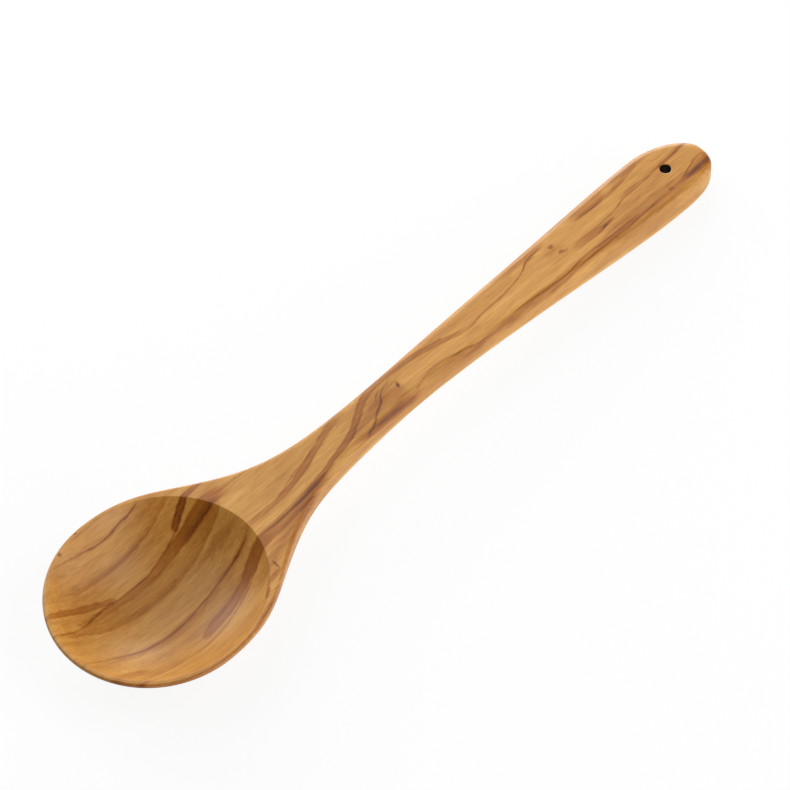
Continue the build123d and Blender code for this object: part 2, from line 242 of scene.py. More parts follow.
# Pale sapwood along the right side of the neck and handle, drawn in the same way
SAPWOOD = (
    ("flat", (87, -21.9, 3.0, 0), (99, -17.1, 3.4, 0.7), (111, -14.1, 3.6, 0.9), (125, -12.5, 3.6, 1.0),
     (140, -12.1, 3.6, 1.0), (155, -12.3, 3.6, 1.0), (178, -12.9, 3.6, 1.0), (203, -14.1, 3.6, 1.0),
     (228, -15.3, 3.6, 1.0), (253, -16.6, 3.6, 1.0), (272, -17.6, 3.6, 1.0), (290, -17.0, 3.6, 1.0),
     (300, -14.5, 3.6, 1.0)),
)
# Small knots: (x, y, half length, half width, turn in degrees, darkness)
KNOTS = (
    (25.3, 32.8, 1.1, 0.9, 50, 0.7), (34.6, 35.0, 0.9, 0.7, 0, 0.6),
    (72.3, -20.7, 2.4, 0.6, 85, 0.6), (68.6, -23.6, 5.2, 1.2, 11, 0.5), (62.8, -26.6, 3.2, 1.1, 37, 0.6),
    (149.6, -0.3, 1.6, 0.9, 65, 0.6), (149.4, -0.5, 0.7, 0.5, 65, 0.4),
    (228.6, 3.8, 1.5, 1.1, 0, 0.6), (229.8, 0.0, 1.7, 0.9, -10, 0.55), (231.5, -0.6, 1.3, 0.5, 0, 0.3),
    (248.8, -2.8, 2.0, 0.7, 10, 0.35), (277.6, -7.3, 1.6, 0.8, 0, 0.35),
)


class SpoonSizes(bpy.types.PropertyGroup):
    """Sizes of the spoon."""

    overall_length: length("Overall length", "From the bowl's front tip to the handle's end", 300)
    bowl_width: length("Bowl width", "Width across the bowl's widest place", 72.2)
    bowl_depth: length("Bowl depth", "From the rim to the lowest place of the underside", 21.3)
    bowl_reach: share("Bowl reach", "Front tip to widest place, against half the width", 1.04)
    lip_height: length("Lip height", "Upright edge of the bowl under its rim", 1.3)
    lip_edge: length("Lip edge", "Rounding of the rim's outer edge", 0.6)
    base_wall: length("Base wall", "Wood left under the deepest place of the hollow", 3.5)
    lip_width: length("Lip width", "Rim between the hollow and the outside", 1.45)
    hollow_oval: share("Hollow oval", "Length of the hollow against its width", 1.092)
    rim_blend: length("Rim blend", "How far the hollow's edge is worn round", 0.26)
    rim_level: share("Level rim", "Stretch with a level rim, against half the width", 1.68)
    neck_width: length("Neck width", "Narrowest place", 14.2)
    neck_thickness: length("Neck thickness", "Top to underside at the neck", 11.1)
    shoulder: share("Shoulder", "Widest place to the neck, against half the width", 2.96)
    grip_thickness: length("Grip thickness", "Top to underside halfway along the handle", 11.3)
    handle_width: length("Handle width", "Widest place of the handle", 24.6)
    handle_thickness: length("Handle thickness", "Top to underside where it is widest", 12.1)
    end_thickness: length("End thickness", "Top to underside at the handle's end", 10.5)
    end_cap: length("End cap", "Length of the handle's rounded end", 22.0)
    handle_arch: length("Handle arch", "Rise of the handle's top over the rim", 5.0)
    top_edge: length("Top edge", "Rounding of the handle's upper edges", 2.5)
    bottom_edge: length("Bottom edge", "How far the lower edges' rounding climbs", 3.0)
    end_round: length("End round", "Rounding under the handle's end", 3.6)
    hole_width: length("Hole width", "Diameter of the hanging hole", 4.0)
    hole_from_end: length("Hole from end", "Hole's middle to the handle's end", 17.0)
    hole_offset: length("Hole offset", "Hole's middle to the left of the spoon's", 0.5)
    hole_break: length("Hole edge break", "Rounding of the hole's edges", 0.5)
    left_squareness: share("Left squareness", "Of the end's left corner: 2 is an ellipse", 1.75)
    right_squareness: share("Right squareness", "Of its right corner: more is squarer", 2.95)
    spacing: length("Mesh spacing", "Distance between neighbouring points", 1.1)
    edge_rows: IntProperty(name="Edge rows", description="Rows that round an edge", default=6, min=2)


def line_through(xs, ys, level_start, level_end):
    """Smooth line through points: level at an end where that is asked, else bending evenly."""
    x, y = np.array(xs, float), np.array(ys, float)
    n = len(x)
    gap = np.diff(x)
    rise = np.diff(y) / gap
    matrix, right = np.zeros((n, n)), np.zeros(n)
    for i in range(1, n - 1):
        matrix[i, i - 1 : i + 2] = gap[i], 2 * (gap[i - 1] + gap[i]), gap[i - 1]
        right[i] = 3 * (gap[i] * rise[i - 1] + gap[i - 1] * rise[i])
    if level_start:
        matrix[0, 0] = 1
    else:
        both = x[2] - x[0]
        matrix[0, :2] = gap[1], both
        right[0] = ((gap[0] + 2 * both) * gap[1] * rise[0] + gap[0] ** 2 * rise[1]) / both
    if level_end:
        matrix[-1, -1] = 1
    else:
        both = x[-1] - x[-3]
        matrix[-1, -2:] = both, gap[-2]
        right[-1] = (
            gap[-1] ** 2 * rise[-2] + (2 * both + gap[-1]) * gap[-2] * rise[-1]
        ) / both
    slope = np.linalg.solve(matrix, right)

    def line(at):
        at = np.asarray(at, float)
        i = np.clip(np.searchsorted(x, at) - 1, 0, n - 2)
        t = (at - x[i]) / gap[i]
        return (
            y[i] * (1 + 2 * t) * (1 - t) ** 2
            + slope[i] * gap[i] * t * (1 - t) ** 2
            + y[i + 1] * t**2 * (3 - 2 * t)
            + slope[i + 1] * gap[i] * t**2 * (t - 1)
        )

    return line


def rounding(part):
    """Share of its full height that a rounded edge has, from 0 at its end to 1."""
    return np.sqrt(1 - (1 - np.clip(part, 0, 1)) ** 2)


def ease(part):
    """Goes smoothly from 0 to 1."""
    part = np.clip(part, 0, 1)
    return part**2 * (3 - 2 * part)


class Profile:
    """The lines that the spoon is carved to, along x from the front tip, in metres."""

    def __init__(self, s):
        self.sizes = s
        self.total = s.overall_length
        self.bowl_half = s.bowl_width / 2
        self.widest = self.bowl_half * s.bowl_reach
        self.shoulder = self.bowl_half * s.shoulder
        self.neck = self.widest + self.shoulder
        self.cap_start = s.overall_length - s.end_cap
        self.handle_half = s.handle_width / 2
        self.level = self.bowl_half * s.rim_level
        self.hollow_depth = s.bowl_depth - s.base_wall
        self.hollow_half = self.bowl_half - s.lip_width
        self.hollow_long = self.hollow_half * s.hollow_oval
        self.hollow_at = s.lip_width + self.hollow_long
        self.hole_at = s.overall_length - s.hole_from_end
        grip = self.cap_start - self.neck
        neck_half = s.neck_width / 2
        self.side_line = line_through(
            [self.widest]
            + [self.widest + self.shoulder * p for p in SHOULDER_PLACES]
            + [self.neck]
            + [self.neck + grip * p for p in GRIP_PLACES]
            + [self.cap_start],
            [self.bowl_half]
            + [neck_half + (self.bowl_half - neck_half) * w for w in SHOULDER_WIDTHS]
            + [neck_half]
            + [neck_half + (self.handle_half - neck_half) * w for w in GRIP_WIDTHS]
            + [self.handle_half],
            True,
            True,
        )
        arch_length = self.total - self.level
        self.arch_line = line_through(
            [0, self.level / 2, self.level] + [self.level + arch_length * p for p in ARCH_PLACES],
            [0, 0, 0] + [s.handle_arch * h for h in ARCH_HEIGHTS],
            False,
            False,
        )
        under_neck = self.top(self.neck) - s.neck_thickness
        middle = self.neck + grip / 2
        self.keel_line = line_through(
            [self.widest]
            + [self.widest + self.shoulder * p for p in KEEL_PLACES]
            + [self.neck, middle, self.cap_start, self.total],
            [-s.bowl_depth]
            + [under_neck + (-s.bowl_depth - under_neck) * d for d in KEEL_DEPTHS]
            + [
                under_neck,
                self.top(middle) - s.grip_thickness,
                self.top(self.cap_start) - s.handle_thickness,
                self.top(self.total) - s.end_thickness,
            ],
            True,
            False,
        )

    def half_width(self, x, right=False):
        """Half width of the plan, on the left side or on the right one."""
        x = np.asarray(x, float)
        front = np.sqrt(np.clip(1 - (1 - x / self.widest) ** 2, 0, 1)) * self.bowl_half
        past = np.clip((x - self.cap_start) / self.sizes.end_cap, 0, 1)
        power = np.where(right, self.sizes.right_squareness, self.sizes.left_squareness)
        end = self.handle_half * (1 - past**power) ** (1 / power)
        side = self.side_line(np.clip(x, self.widest, self.cap_start))
        return np.where(x < self.widest, front, np.where(x > self.cap_start, end, side))

    def top(self, x):
        """Height of the top face over the rim."""
        return np.where(np.asarray(x) > self.level, self.arch_line(x), 0.0)

    def keel(self, x):
        """Height of the underside along the middle."""
        s = self.sizes
        way = 1 - np.clip(np.asarray(x, float), 0, self.widest) / self.widest
        dish = -s.lip_height - (s.bowl_depth - s.lip_height) * (1 - way**2) ** DISH_ALONG
        behind = self.keel_line(np.clip(x, self.widest, self.total))
        return np.where(np.asarray(x) < self.widest, dish, behind)

    def neck_share(self, x):
        """Goes smoothly from 0 in the bowl to 1 at the neck."""
        return ease((np.asarray(x, float) - self.widest) / self.shoulder)

    def edge_radius(self, x):
        """Rounding of the top face's outer edge."""
        s = self.sizes
        return s.lip_edge + (s.top_edge - s.lip_edge) * self.neck_share(x)


def evenly_along(points, spacing):
    """Points spread evenly along a finely drawn line, with the line's left-hand normals."""
    steps = np.hypot(*np.diff(points, axis=0).T)
    along = np.concatenate([[0], np.cumsum(steps)])
    count = int(round(along[-1] / spacing))
    at = np.linspace(0, along[-1], count + 1)
    x, y = (np.interp(at, along, points[:, i]) for i in (0, 1))
    near = along[-1] / len(points) * NORMAL_REACH
    tangent = np.stack(
        [
            np.interp(at + near, along, points[:, i]) - np.interp(at - near, along, points[:, i])
            for i in (0, 1)
        ],
        axis=1,
    )
    tangent /= np.linalg.norm(tangent, axis=1)[:, None]
    return np.stack([x, y], axis=1), np.stack([-tangent[:, 1], tangent[:, 0]], axis=1)


# What each point of the blank tells the carving
BLANK_FACTS = (
    "edge_drop", "hole_drop", "level", "across",
    "top_line", "keel_line", "neck_share", "end_rise",
)


class Blank:
    """The flat blank of the spoon: a closed skin pressed flat, with what the carving needs.

    Top, walls and underside lie on one another. Each point keeps how far the edge it is on
    lowers it (edge_drop, hole_drop, as shares) and whether it belongs to the top or underside.
    """

    def __init__(self, profile):
        self.profile = profile
        self.sizes = profile.sizes
        self.turns = np.linspace(0, pi / 2, self.sizes.edge_rows + 1)
        self.edge_drops = 1 - np.sin(self.turns)
        self.cut = profile.hollow_at + profile.hollow_long + HOLLOW_TO_CUT
        self.end_cut = profile.cap_start - CUT_TO_CAP
        self.points, self.edge_drop, self.hole_drop = [], [], []
        self.faces = []
        self.count = 0

    def add(self, points, edge_drop=0.0, hole_drop=0.0):
        """Adds points and gives back their numbers."""
        n = len(points)
        self.points.append(points)
        self.edge_drop.append(np.broadcast_to(edge_drop, n))
        self.hole_drop.append(np.broadcast_to(hole_drop, n))
        self.count += n
        return np.arange(self.count - n, self.count)

    def strip(self, inner, outer, closed):
        """Faces between an inner and an outer row that run anticlockwise."""
        last = len(inner) if closed else len(inner) - 1
        for i in range(last):
            j = (i + 1) % len(inner)
            self.faces.append((inner[i], outer[i], outer[j], inner[j]))

    def edge_bands(self, outline, normals, cut, blend):
        """Rows that follow an outline inwards, straight across the spoon where it is cut."""
        near = ease(1 - np.abs(outline[:, 0] - cut) / blend)[:, None]
        across = np.stack([np.zeros(len(outline)), -np.sign(outline[:, 1])], axis=1)
        lean = normals * (1 - near) + across * near
        lean /= np.linalg.norm(lean, axis=1)[:, None]
        slant = np.sum(lean * normals, axis=1)
        radius = self.profile.edge_radius(outline[:, 0])
        found = []
        for turn in self.turns:
            reach = radius * (1 - np.cos(turn)) / slant
            found.append(outline + lean * reach[:, None])
        return found

    def bowl_outline(self):
        """From the cut on the left side round the front to the right side."""
        p = self.profile
        side = np.linspace(self.cut, p.widest, SIDE_POINTS)
        turn = np.linspace(pi / 2, 3 * pi / 2, FRONT_POINTS)[1:-1]
        left = np.stack([side, p.half_width(side)], axis=1)
        front = np.stack([p.widest + p.widest * np.cos(turn), p.bowl_half * np.sin(turn)], axis=1)
        right = left[::-1] * (1, -1)
        return evenly_along(np.concatenate([left, front, right]), self.sizes.spacing)

    def end_outline(self):
        """From the right side round the handle's end to the left side."""
        p, s = self.profile, self.sizes
        turn = np.linspace(0, pi / 2, END_POINTS)
        side = np.linspace(self.end_cut, p.cap_start, CAP_SIDE_POINTS)[:-1]
        halves = []
        for squareness, to_left in ((s.right_squareness, -1), (s.left_squareness, 1)):
            power = 2 / squareness
            along = p.cap_start + s.end_cap * np.sin(turn) ** power
            half = p.handle_half * np.cos(turn) ** power
            half[-1] = 0
            along = np.concatenate([side, along])
            half = np.concatenate([p.half_width(side), half])
            halves.append(np.stack([along, to_left * half], axis=1))
        right, left = halves
        return evenly_along(np.concatenate([right, left[::-1][1:]]), s.spacing)

    def bowl(self):
        """Rows along the bowl's edge, and rings from the middle of the hollow out to them."""
        p, s = self.profile, self.sizes
        bands = self.edge_bands(*self.bowl_outline(), self.cut, CUT_BLEND)
        rows = [self.add(points, edge_drop=drop) for points, drop in zip(bands, self.edge_drops)]
        for outer, inner in zip(rows, rows[1:]):
            self.strip(inner, outer, False)
        inset = bands[-1]
        gaps = int(round(2 * inset[0, 1] / s.spacing))
        cut_y = np.linspace(inset[-1, 1], inset[0, 1], gaps + 1)[1:-1]
        cut_line = np.stack([np.full(len(cut_y), self.cut), cut_y], axis=1)
        cut_numbers = self.add(cut_line)
        loop = np.concatenate([inset, cut_line])
        centre = np.array([p.hollow_at, 0])
        oval = np.array([s.hollow_oval, 1])
        aim = (loop - centre) / oval
        aim /= np.linalg.norm(aim, axis=1)[:, None]
        inside = p.hollow_half - RIM_GAPS[-1]
        radii = [
            *np.linspace(0, inside, int(p.hollow_half / s.spacing))[1:],
            *(p.hollow_half - RIM_GAPS[-2::-1]),
            p.hollow_half,
            *(p.hollow_half + RIM_GAPS),
        ]
        rings = [self.add(centre + aim * oval * r) for r in radii]
        last = centre + aim * oval * radii[-1]
        rings += [self.add(last + (loop - last) * part) for part in LIP_RINGS]
        rings.append(np.concatenate([rows[-1], cut_numbers]))
        middle_point = self.add(centre[None, :])[0]
        for i in range(len(loop)):
            self.faces.append((middle_point, rings[0][i], rings[0][(i + 1) % len(loop)]))
        for inner, outer in zip(rings, rings[1:]):
            self.strip(inner, outer, True)
        return rows, cut_numbers

    def handle(self, bowl_rows, cut_numbers):
        """Rows across the handle, from the cut behind the hollow to the one before the end."""
        p = self.profile
        steps = int(round((self.end_cut - self.cut) / self.sizes.spacing))
        stations = np.linspace(self.cut, self.end_cut, steps + 1)
        ahead, behind = p.half_width(stations + SLOPE_STEP), p.half_width(stations - SLOPE_STEP)
        slant = 1 / np.hypot(1, (ahead - behind) / (2 * SLOPE_STEP))
        drops = [self.edge_drops, np.zeros(len(cut_numbers)), self.edge_drops[::-1]]
        left_edge, right_edge = [row[0] for row in bowl_rows], [row[-1] for row in bowl_rows[::-1]]
        grid = [np.concatenate([left_edge, cut_numbers[::-1], right_edge])]
        for x, half, slanted in list(zip(stations, p.half_width(stations), slant))[1:]:
            edge = half - p.edge_radius(x) * (1 - np.cos(self.turns)) / slanted
            middle = np.linspace(edge[-1], -edge[-1], len(cut_numbers) + 2)[1:-1]
            across = np.concatenate([edge, middle, -edge[::-1]])
            row = np.stack([np.full(len(across), x), across], axis=1)
            grid.append(self.add(row, edge_drop=np.concatenate(drops)))
        for near, far in zip(grid, grid[1:]):
            for c in range(len(near) - 1):
                self.faces.append((near[c + 1], far[c + 1], far[c], near[c]))
        return grid

    def end(self, last_row):
        """Rows along the rounded end's edge, and rings from the hanging hole out to them."""
        p, s = self.profile, self.sizes
        bands = self.edge_bands(*self.end_outline(), self.end_cut, END_CUT_BLEND)
        rows = []
        for k, (points, drop) in enumerate(zip(bands, self.edge_drops)):
            inside = self.add(points[1:-1], edge_drop=drop)
            rows.append(np.concatenate([[last_row[-1 - k]], inside, [last_row[k]]]))
        for outer, inner in zip(rows, rows[1:]):
            self.strip(inner, outer, False)
        edge = len(rows)
        loop_numbers = np.concatenate([rows[-1], last_row[edge:-edge]])
        loop = np.concatenate(self.points)[loop_numbers]
        centre = np.array([p.hole_at, s.hole_offset])
        aim = loop - centre
        aim /= np.linalg.norm(aim, axis=1)[:, None]
        hole = s.hole_width / 2
        rings = []
        for turn in np.linspace(0, pi / 2, HOLE_EDGE_RINGS):
            at = centre + aim * (hole + s.hole_break * (1 - np.cos(turn)))
            rings.append(self.add(at, hole_drop=1 - np.sin(turn)))
        last = centre + aim * (hole + s.hole_break)
        rings += [self.add(last + (loop - last) * part) for part in HOLE_RINGS]
        rings.append(loop_numbers)
        for inner, outer in zip(rings, rings[1:]):
            self.strip(inner, outer, True)
        return rows, rings[0]

    def close(self, border, hole):
        """Adds the underside and the walls, and gives each point's facts and all the faces."""
        skin = np.column_stack(
            [np.concatenate(found) for found in (self.points, self.edge_drop, self.hole_drop)]
        )
        n = self.count
        layers = [(skin, 1.0), (skin, 0.0)]
        faces = self.faces + [tuple(v + n for v in reversed(face)) for face in self.faces]
        count = 2 * n
        for loop, outside in ((border, True), (hole, False)):
            rows = [loop]
            for level in WALL_ROWS:
                layers.append((skin[loop], level))
                rows.append(np.arange(count, count + len(loop)))
                count += len(loop)
            rows.append(loop + n)
            for high, low in zip(rows, rows[1:]):
                for i in range(len(loop)):
                    j = (i + 1) % len(loop)
                    face = (low[i], low[j], high[j], high[i])
                    faces.append(face if outside else face[::-1])
        level = np.concatenate([np.full(len(points), level) for points, level in layers])
        return np.concatenate([points for points, level in layers]), level, faces

    def make(self):
        """The blank as a mesh."""
        bowl_rows, cut_numbers = self.bowl()
        grid = self.handle(bowl_rows, cut_numbers)
        end_rows, hole = self.end(grid[-1])
        left, right = [row[0] for row in grid[-2:0:-1]], [row[-1] for row in grid[1:-1]]
        border = np.concatenate([bowl_rows[0], right, end_rows[0], left])
        skin, level, faces = self.close(border, hole)
        x, y, edge_drop, hole_drop = skin.T
        p = self.profile
        across = np.clip(np.abs(y) / np.maximum(p.half_width(x, y < 0), NARROWEST), 0, 1)
        across[edge_drop == 1] = 1
        end_rise = rounding((p.total - x) / self.sizes.end_round)
        lines = (p.top(x), p.keel(x), p.neck_share(x), end_rise)
        mesh = bpy.data.meshes.new("spoon_blank")
        verts = np.column_stack([x, y, np.zeros(len(x))])
        mesh.from_pydata(verts.tolist(), [], [tuple(int(v) for v in f) for f in faces])
        for name, numbers in zip(BLANK_FACTS, (edge_drop, hole_drop, level, across, *lines)):
            layer = mesh.attributes.new(name, "FLOAT", "POINT")
            layer.data.foreach_set("value", np.asarray(numbers, np.float32))
        return mesh


def add(tree, kind, *inputs, out=0, **settings):
    """Adds a node with its settings, sets or links its inputs in order, and gives an output."""
    node = tree.nodes.new(kind)
    for name, value in settings.items():
        setattr(node, name, value)
    for socket, value in zip(node.inputs, inputs):
        if isinstance(value, bpy.types.NodeSocket):
            tree.links.new(value, socket)
        elif value is not None:
            socket.default_value = value
    return node.outputs[out]


# Inputs of the carving's node tree that are sizes of the spoon as they stand
CARVING_INPUTS = (
    ("Lip height", "lip_height"),
    ("Lip edge", "lip_edge"),
    ("Top edge", "top_edge"),
    ("Bottom edge", "bottom_edge"),
    ("Hole edge break", "hole_break"),
    ("Rim blend", "rim_blend"),
    ("Hollow oval", "hollow_oval"),
)


def carving_tree():
    """Geometry Nodes that raise the flat blank to the spoon's top, hollow, walls and underside."""
    tree = bpy.data.node_groups.new("carve_spoon", "GeometryNodeTree")
    face = tree.interface
    face.new_socket("Geometry", in_out="INPUT", socket_type="NodeSocketGeometry")
    for name in [
        *(name for name, size in CARVING_INPUTS),
        "Hollow depth",
        "Hollow half width",
        "Hollow middle",
        "Rest tilt",
    ]:
        face.new_socket(name, in_out="INPUT", socket_type="NodeSocketFloat")
    face.new_socket("Wood", in_out="INPUT", socket_type="NodeSocketMaterial")
    face.new_socket("Geometry", in_out="OUTPUT", socket_type="NodeSocketGeometry")
    size = tree.nodes.new("NodeGroupInput").outputs
    fact = {
        name: add(tree, "GeometryNodeInputNamedAttribute", name, data_type="FLOAT")
        for name in BLANK_FACTS
    }
    place = add(tree, "GeometryNodeInputPosition")
    place = add(tree, "ShaderNodeSeparateXYZ", place).node.outputs
    neck = fact["neck_share"]

    # Top: the line of the handle's top, lowered where its edges and the hole's are rounded
    radius = add(tree, "ShaderNodeMix", neck, None, size["Lip edge"], size["Top edge"])
    edge = add(tree, "ShaderNodeMath", radius, fact["edge_drop"], operation="MULTIPLY")
    hole = add(
        tree, "ShaderNodeMath", size["Hole edge break"], fact["hole_drop"], operation="MULTIPLY"
    )
    top = add(tree, "ShaderNodeMath", fact["top_line"], edge, operation="SUBTRACT")
    top = add(tree, "ShaderNodeMath", top, hole, operation="SUBTRACT")

    # Hollow: a cap of a ball, stretched along the spoon
    deep, wide = size["Hollow depth"], size["Hollow half width"]
    wide_squared = add(tree, "ShaderNodeMath", wide, wide, operation="MULTIPLY")
    ball = add(tree, "ShaderNodeMath", deep, deep, wide_squared, operation="MULTIPLY_ADD")
    ball = add(tree, "ShaderNodeMath", ball, deep, operation="DIVIDE")
    ball = add(tree, "ShaderNodeMath", ball, 0.5, operation="MULTIPLY")
    rise = add(tree, "ShaderNodeMath", ball, deep, operation="SUBTRACT")
    along = add(tree, "ShaderNodeMath", place["X"], size["Hollow middle"], operation="SUBTRACT")
    along = add(tree, "ShaderNodeMath", along, size["Hollow oval"], operation="DIVIDE")
    reach = add(tree, "ShaderNodeMath", along, along, operation="MULTIPLY")
    reach = add(tree, "ShaderNodeMath", place["Y"], place["Y"], reach, operation="MULTIPLY_ADD")
    left = add(tree, "ShaderNodeMath", ball, ball, operation="MULTIPLY")
    left = add(tree, "ShaderNodeMath", left, reach, operation="SUBTRACT")
    left = add(tree, "ShaderNodeMath", left, 0.0, operation="MAXIMUM")
    left = add(tree, "ShaderNodeMath", left, operation="SQRT")
    hollow = add(tree, "ShaderNodeMath", rise, left, operation="SUBTRACT")
    top = add(tree, "ShaderNodeMath", top, hollow, size["Rim blend"], operation="SMOOTH_MIN")

    # Underside: upright sides down to the lip's or the handle's lower edge, then a full curve
    full = add(tree, "ShaderNodeMath", fact["top_line"], fact["keel_line"], operation="SUBTRACT")
    full = add(tree, "ShaderNodeMath", full, size["Bottom edge"], operation="SUBTRACT")
    side = add(tree, "ShaderNodeMix", neck, None, size["Lip height"], full)
    side = add(tree, "ShaderNodeMath", fact["top_line"], side, operation="SUBTRACT")
    power = add(tree, "ShaderNodeMix", neck, None, DISH_ACROSS, GRIP_ACROSS)
    up = add(tree, "ShaderNodeMix", neck, None, DISH_UP, GRIP_UP)
    fall = add(tree, "ShaderNodeMath", fact["across"], power, operation="POWER")
    fall = add(tree, "ShaderNodeMath", 1.0, fall, operation="SUBTRACT")
    fall = add(tree, "ShaderNodeMath", fall, up, operation="POWER")
    fall = add(tree, "ShaderNodeMath", fall, fact["end_rise"], operation="MULTIPLY")
    drop = add(tree, "ShaderNodeMath", fact["keel_line"], side, operation="SUBTRACT")
    under = add(tree, "ShaderNodeMath", drop, fall, side, operation="MULTIPLY_ADD")
    under = add(tree, "ShaderNodeMath", under, hole, operation="ADD")

    height = add(tree, "ShaderNodeMix", fact["level"], None, under, top)
    place = add(tree, "ShaderNodeCombineXYZ", place["X"], place["Y"], height)
    below = add(tree, "ShaderNodeMath", top, height, operation="SUBTRACT")
    kept = add(
        tree, "GeometryNodeStoreNamedAttribute", size["Geometry"], None, "below_top", below,
        data_type="FLOAT", domain="POINT",
    )
    carved = add(tree, "GeometryNodeSetPosition", kept, None, place)
    tilt = add(tree, "ShaderNodeCombineXYZ", 0.0, size["Rest tilt"], 0.0)
    tilt = add(tree, "FunctionNodeEulerToRotation", tilt)
    laid = add(tree, "GeometryNodeTransform", carved, None, tilt)
    smooth = add(tree, "GeometryNodeSetShadeSmooth", laid, None, True)
    real = add(tree, "GeometryNodeRealizeInstances", smooth)
    dressed = add(tree, "GeometryNodeSetMaterial", real, None, size["Wood"])
    tree.links.new(dressed, tree.nodes.new("NodeGroupOutput").inputs["Geometry"])
    return tree


class WoodColours(bpy.types.PropertyGroup):
    """Colours of the oiled wood, and of the painted shade inside the hanging hole."""

    pale: colour("Pale wood", "Lightest wood between the streaks", "cd994c")
    honey: colour("Honey wood", "Main colour", "bf873c")
    tan: colour("Tan wood", "Broad darker zones", "aa722e")
    sap: colour("Sapwood", "Pale wood along the right side of the handle", "deaf66")
    brown: colour("Brown streak", "What a half-dark streak does to the wood's colour", "d0ae68")
    dark: colour("Dark streak", "What the darkest streak does to the wood's colour", "764a1c")
    # Painted shade: the hanging hole's wall is painted near black, for the shade deep inside the narrow
    # hole
    hole_shade: colour("Hole shade", "Wall of the hanging hole, scorched by the drill", "2a1608")
    grain: length("Grain width", "Width of the finest fibres that show", 0.45)
    roughness: share("Roughness", "Of the oiled and rubbed surface", 0.42)


# Which part of a streak is dark, from its right side (0) to its left side (1)
STREAK_KINDS = {
    "line": ((0.0, 0.0), (0.28, 0.22), (0.5, 1.0), (0.72, 0.22), (1.0, 0.0)),
    "soft": ((0.0, 0.0), (0.25, 0.55), (0.5, 1.0), (0.75, 0.55), (1.0, 0.0)),
    "flat": ((0.0, 0.0), (0.2, 1.0), (0.5, 0.85), (0.8, 1.0), (1.0, 0.0)),
    "low": ((0.0, 0.0), (0.2, 1.0), (0.45, 0.7), (0.7, 0.35), (1.0, 0.0)),
}
# What a streak's curves span from 0 to 1, in millimetres
ACROSS_RANGE = 80.0
WIDTH_RANGE = 8.0
LENGTH_RANGE = 300.0
TRACK_GAP = 3.0          # least gap along the spoon between two streaks on one set of curves

# Grain of the wood. A ripple is its millimetres along, across and down the spoon; a pattern adds
# its layers of detail, its roughness and where it starts. The real pores are about 0.1 mm wide, too
# fine to show, so the fibres are drawn as coarse as the grain width above.
WANDERS = (((55, 14, 9), 0.8), ((16, 1.4, 2.0), 0.9), ((6, 0.5, 0.8), 0.6))   # and how far, in mm
ZONES = ((48, 8, 16), 2.0, 0.5, (3.1, 0.4, 0.2))
BANDS = ((45, 2.4, 9), 3.0, 0.6, (0.3, 2.1, 0.7))
FIBRE_LENGTH, FIBRE_DEPTH = 7, 3      # in millimetres, and in widths
FIBRES = (2.0, 0.6, (0.5, 0.2, 0.9))
ZONE_SHARE, BAND_SHARE, FIBRE_SHARE = 0.5, 0.5, 0.35
TONE_STOPS = (0.5, 0.68, 0.86)        # tones at which the wood is pale, honey and tan
SAP_SHARE = 0.8                       # how fully the sapwood takes its own colour
RING_LEAN = 0.4                       # growth rings lean: across per depth under the top face
RING_COUNT = 9.0                      # growth lines over the whole range of the zones
RING_EDGE = ((0.0, 0.0), (0.05, 1.0), (0.16, 0.45), (0.5, 0.1), (1.0, 0.0))
RING_DARKNESS, FIBRE_DARKNESS = 0.1, 0.25
KNOT_EDGE = ((0.0, 1.0), (0.45, 0.8), (1.0, 0.0))   # from a knot's middle outwards
# Painted shade on the hole's wall: where it ends and where it is full
HOLE_SHADE_EDGE = (1.06, 1.01)           # where the hole's dark wall ends and is full, in its radii
OIL_IOR = 1.44                        # oil rubbed into sanded wood, with no film of varnish
FIBRE_RELIEF, RELIEF_SHARE, RELIEF_STRENGTH = 0.05 * MM, 0.6, 0.25   # fibres that can be felt


def set_ramp(ramp, stops):
    """Sets the stops of a colour ramp: (place, grey value or colour)."""
    ramp.elements[0].position = stops[0][0]
    ramp.elements[1].position = stops[-1][0]
    for place, value in stops[1:-1]:
        ramp.elements.new(place)
    for element, (place, value) in zip(ramp.elements, stops):
        element.color = (*value, 1) if hasattr(value, "__len__") else (value, value, value, 1)


def set_curve(curve, points):
    """Moves a curve's two ends to the first and last point and adds the others."""
    curve.points[0].location = points[0]
    curve.points[-1].location = points[-1]
    for point in points[1:-1]:
        curve.points.new(*point)
    for point in curve.points:
        point.handle_type = "AUTO_CLAMPED"


def tracks(streaks):
    """Strings streaks of one kind that lie one behind the other along the spoon together."""
    strung = []
    for kind, *points in sorted(streaks, key=lambda streak: streak[1][0]):
        for other, track in strung:
            if other == kind and track[-1][0] + TRACK_GAP < points[0][0] and not track[-1][3]:
                if not points[0][3]:
                    track.extend(points)
                    break
        else:
            strung.append((kind, list(points)))
    return strung


